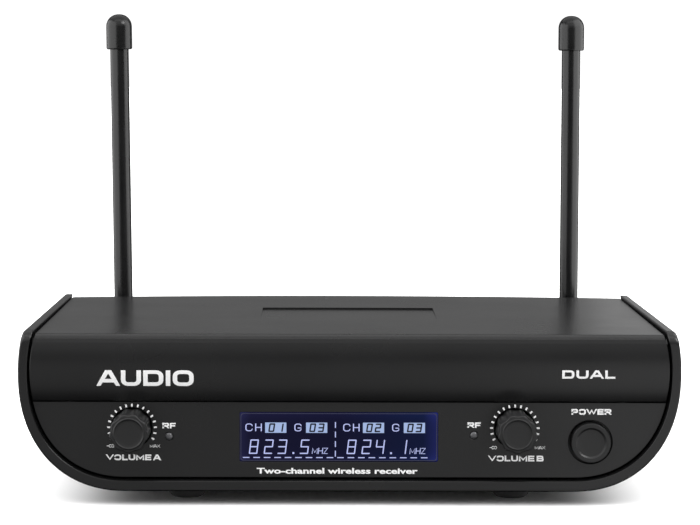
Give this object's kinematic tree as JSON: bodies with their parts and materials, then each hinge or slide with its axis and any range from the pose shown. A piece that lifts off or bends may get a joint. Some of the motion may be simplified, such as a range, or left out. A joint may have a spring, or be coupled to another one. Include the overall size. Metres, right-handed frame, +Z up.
{
  "type": "wireless microphone receiver",
  "caption": "Desk-top wireless microphone receiver: U-shaped casing, curved brow, lit display window, volume knobs, power button and folding rod aerials at the back.",
  "frame": {"origin": "middle of the bounding box in X and Y, at the underside of the feet", "axes": "+X to the right seen from the front, +Y from the front panel to the connectors, +Z up along the aerials"},
  "size_m": [0.2128, 0.1558, 0.16],
  "materials": {
    "casing": "fine satin texture, near black",
    "window": "clear smoked pane, polished",
    "foot_rubber": "matt moulded rubber",
    "black_steel": "black oxide",
    "display_glass": "lit blue-violet display with pale digits",
    "light_guide": "milky light guide",
    "circuit_board": "green solder mask",
    "control_plastic": "satin black",
    "lamp_plastic": "smoked lens, unlit",
    "connector_plastic": "smooth black",
    "plated_metal": "nickel plated",
    "cable_sheath": "grey flat cable",
    "antenna_rubber": "smooth semi-matt black rubber",
    "antenna_plastic": "satin black"
  },
  "bodies": {
    "receiver": {"bottom_shell": "casing", "top_cover": "casing", "front_panel": "casing", "rear_panel": "casing", "display_window": "window", "foot_front_left": "foot_rubber", "foot_front_right": "foot_rubber", "foot_rear_left": "foot_rubber", "foot_rear_right": "foot_rubber", "case_screw_front_left": "black_steel", "case_screw_front_right": "black_steel", "case_screw_rear_left": "black_steel", "case_screw_rear_right": "black_steel", "lcd_bezel": "black_steel", "xlr_screw_a_1": "black_steel", "xlr_screw_a_2": "black_steel", "xlr_screw_b_1": "black_steel", "xlr_screw_b_2": "black_steel", "lcd_glass": "display_glass", "lcd_backlight": "light_guide", "display_board": "circuit_board", "front_board": "circuit_board", "main_board": "circuit_board", "rf_led_a": "lamp_plastic", "rf_led_b": "lamp_plastic", "volume_pot_a": "connector_plastic", "volume_pot_b": "connector_plastic", "power_switch": "connector_plastic", "xlr_output_a": "connector_plastic", "xlr_output_b": "connector_plastic", "output_jack": "connector_plastic", "power_inlet": "connector_plastic", "filter_capacitor": "connector_plastic", "antenna_lead_a": "connector_plastic", "antenna_lead_b": "connector_plastic", "front_board_screw_1": "plated_metal", "front_board_screw_2": "plated_metal", "rf_shield_a": "plated_metal", "rf_shield_b": "plated_metal", "main_board_screw_left": "plated_metal", "main_board_screw_right": "plated_metal", "xlr_insert_a": "plated_metal", "xlr_insert_b": "plated_metal", "output_jack_nut": "plated_metal", "antenna_base_a": "plated_metal", "antenna_base_b": "plated_metal", "ribbon_cable": "cable_sheath"},
    "volume_knob_a": {"volume_knob_a": "control_plastic", "pot_shaft_a": "plated_metal"},
    "volume_knob_b": {"volume_knob_b": "control_plastic", "pot_shaft_b": "plated_metal"},
    "power_button": {"power_button": "control_plastic"},
    "antenna_swivel_a": {"antenna_swivel_a": "antenna_plastic", "antenna_pin_a": "black_steel"},
    "antenna_swivel_b": {"antenna_swivel_b": "antenna_plastic", "antenna_pin_b": "black_steel"},
    "antenna_rod_a": {"antenna_rod_a": "antenna_rubber", "antenna_cap_a": "antenna_rubber"},
    "antenna_rod_b": {"antenna_rod_b": "antenna_rubber", "antenna_cap_b": "antenna_rubber"}
  },
  "joints": [
    {"name": "volume_a_turn", "type": "hinge", "parent": "receiver", "child": "volume_knob_a", "pos_m": [-0.0704, -0.0669, 0.0248], "axis": [0, 1, 0], "range_deg": [-140, 140]},
    {"name": "volume_b_turn", "type": "hinge", "parent": "receiver", "child": "volume_knob_b", "pos_m": [0.0532, -0.0669, 0.0248], "axis": [0, 1, 0], "range_deg": [-140, 140]},
    {"name": "power_press", "type": "slide", "parent": "receiver", "child": "power_button", "axis": [0, 1, 0], "range_m": [0, 0.0025], "stiffness_N_per_m": 800, "springref_m": -0.001},
    {"name": "antenna_a_swivel", "type": "hinge", "parent": "receiver", "child": "antenna_swivel_a", "pos_m": [-0.08365, 0.0731, 0.038], "axis": [0, 1, 0], "range_deg": [-90, 30]},
    {"name": "antenna_a_tilt", "type": "hinge", "parent": "antenna_swivel_a", "child": "antenna_rod_a", "pos_m": [-0.08365, 0.0731, 0.038], "axis": [-0.9999, 0, -0.0129], "range_deg": [0, 90]},
    {"name": "antenna_b_swivel", "type": "hinge", "parent": "receiver", "child": "antenna_swivel_b", "pos_m": [0.08365, 0.0731, 0.038], "axis": [0, 1, 0], "range_deg": [-30, 90]},
    {"name": "antenna_b_tilt", "type": "hinge", "parent": "antenna_swivel_b", "child": "antenna_rod_b", "pos_m": [0.08365, 0.0731, 0.038], "axis": [-1, 0, 0], "range_deg": [0, 90]}
  ]
}
